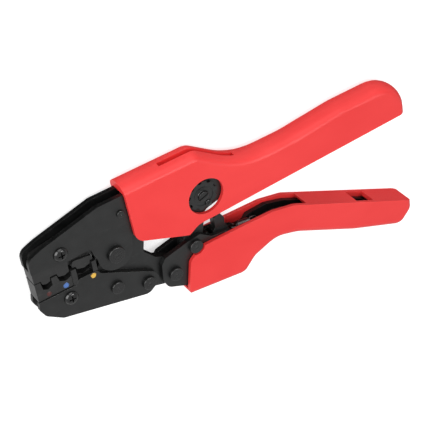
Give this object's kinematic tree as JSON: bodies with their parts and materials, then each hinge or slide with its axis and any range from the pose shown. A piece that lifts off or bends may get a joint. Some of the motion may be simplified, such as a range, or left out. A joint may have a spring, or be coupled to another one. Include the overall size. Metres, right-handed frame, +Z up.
{
  "type": "ratcheting crimping tool",
  "caption": "Ratcheting hand crimper for insulated terminals, with pinned steel jaw plates, nested dies, a toggle link, a pawl, an adjusting wheel and red moulded channel grips.",
  "frame": {"origin": "under the middle of the bounding box of the closed tool, at the level of the rear faces of the grips, on which it lies", "axes": "+X along the tool from the jaws to the handle ends, +Y from the lower, moving handle towards the upper, fixed handle, +Z up, along the pivot pins"},
  "size_m": [0.2252, 0.1092, 0.0154],
  "materials": {
    "black_steel": "satin black oxide",
    "die_steel": "matt black oxide",
    "pin_steel": "darkened steel, satin",
    "spring_steel": "drawn wire",
    "red_plastic": "semi-gloss, smooth moulded",
    "mark_red": "paint dot",
    "mark_blue": "paint dot",
    "mark_yellow": "paint dot"
  },
  "bodies": {
    "frame": {"frame_plate_front": "black_steel", "frame_plate_rear": "black_steel", "upper_die": "die_steel", "upper_die_screw": "black_steel", "main_pivot_pin": "pin_steel", "head_rivet": "pin_steel", "head_spacer": "pin_steel", "tang_pin": "pin_steel", "tang_spacer": "pin_steel", "upper_grip": "red_plastic"},
    "lower_jaw": {"jaw_plate": "black_steel", "jaw_cheek_front": "black_steel", "jaw_cheek_rear": "black_steel", "lower_die": "die_steel", "nest_mark_small": "mark_red", "nest_mark_medium": "mark_blue", "nest_mark_large": "mark_yellow", "lower_die_screw": "black_steel", "cheek_rivet_1": "pin_steel", "cheek_rivet_2": "pin_steel"},
    "handle": {"handle_plate_front": "black_steel", "handle_plate_rear": "black_steel", "handle_pivot_pin": "pin_steel", "link_pin": "pin_steel", "pawl_pin": "pin_steel", "handle_stay_pin": "pin_steel", "handle_stay_sleeve": "pin_steel", "return_spring_pin": "pin_steel", "pawl_spring_pin": "pin_steel", "lower_grip": "red_plastic", "return_spring": "spring_steel", "pawl_spring": "spring_steel"},
    "link": {"toggle_link": "black_steel"},
    "pawl": {"ratchet_pawl": "black_steel"},
    "adjuster": {"adjusting_wheel": "black_steel", "eccentric_pin": "pin_steel", "wheel_lock_screw": "pin_steel"}
  },
  "joints": [
    {"name": "handle_pivot", "type": "hinge", "parent": "lower_jaw", "child": "handle", "pos_m": [-0.03807, -0.01113, 0], "axis": [0, 0, -1], "range_deg": [0, 41]},
    {"name": "jaw_pivot", "type": "hinge", "parent": "frame", "child": "lower_jaw", "pos_m": [-0.06777, 0.01857, 0], "axis": [0, 0, 1], "range_deg": [0, 12]},
    {"name": "link_pivot", "type": "hinge", "parent": "handle", "child": "link", "pos_m": [-0.02427, -0.00043, 0], "axis": [0, 0, 1], "range_deg": [0, 48], "deforming": ["return_spring"]},
    {"name": "pawl_pivot", "type": "hinge", "parent": "handle", "child": "pawl", "pos_m": [-0.00527, -0.00343, 0], "axis": [0, 0, -1], "range_deg": [0, 14], "stiffness_Nm_per_rad": 0.05, "deforming": ["pawl_spring"]},
    {"name": "adjuster_turn", "type": "hinge", "parent": "frame", "child": "adjuster", "pos_m": [-0.01577, 0.02827, 0], "axis": [0, 0, 1], "range_deg": [-150, 150]}
  ],
  "couplings": [
    {"joint": "jaw_pivot", "follows": "handle_pivot", "ratio": 0.285},
    {"joint": "link_pivot", "follows": "handle_pivot", "ratio": 1.16}
  ]
}
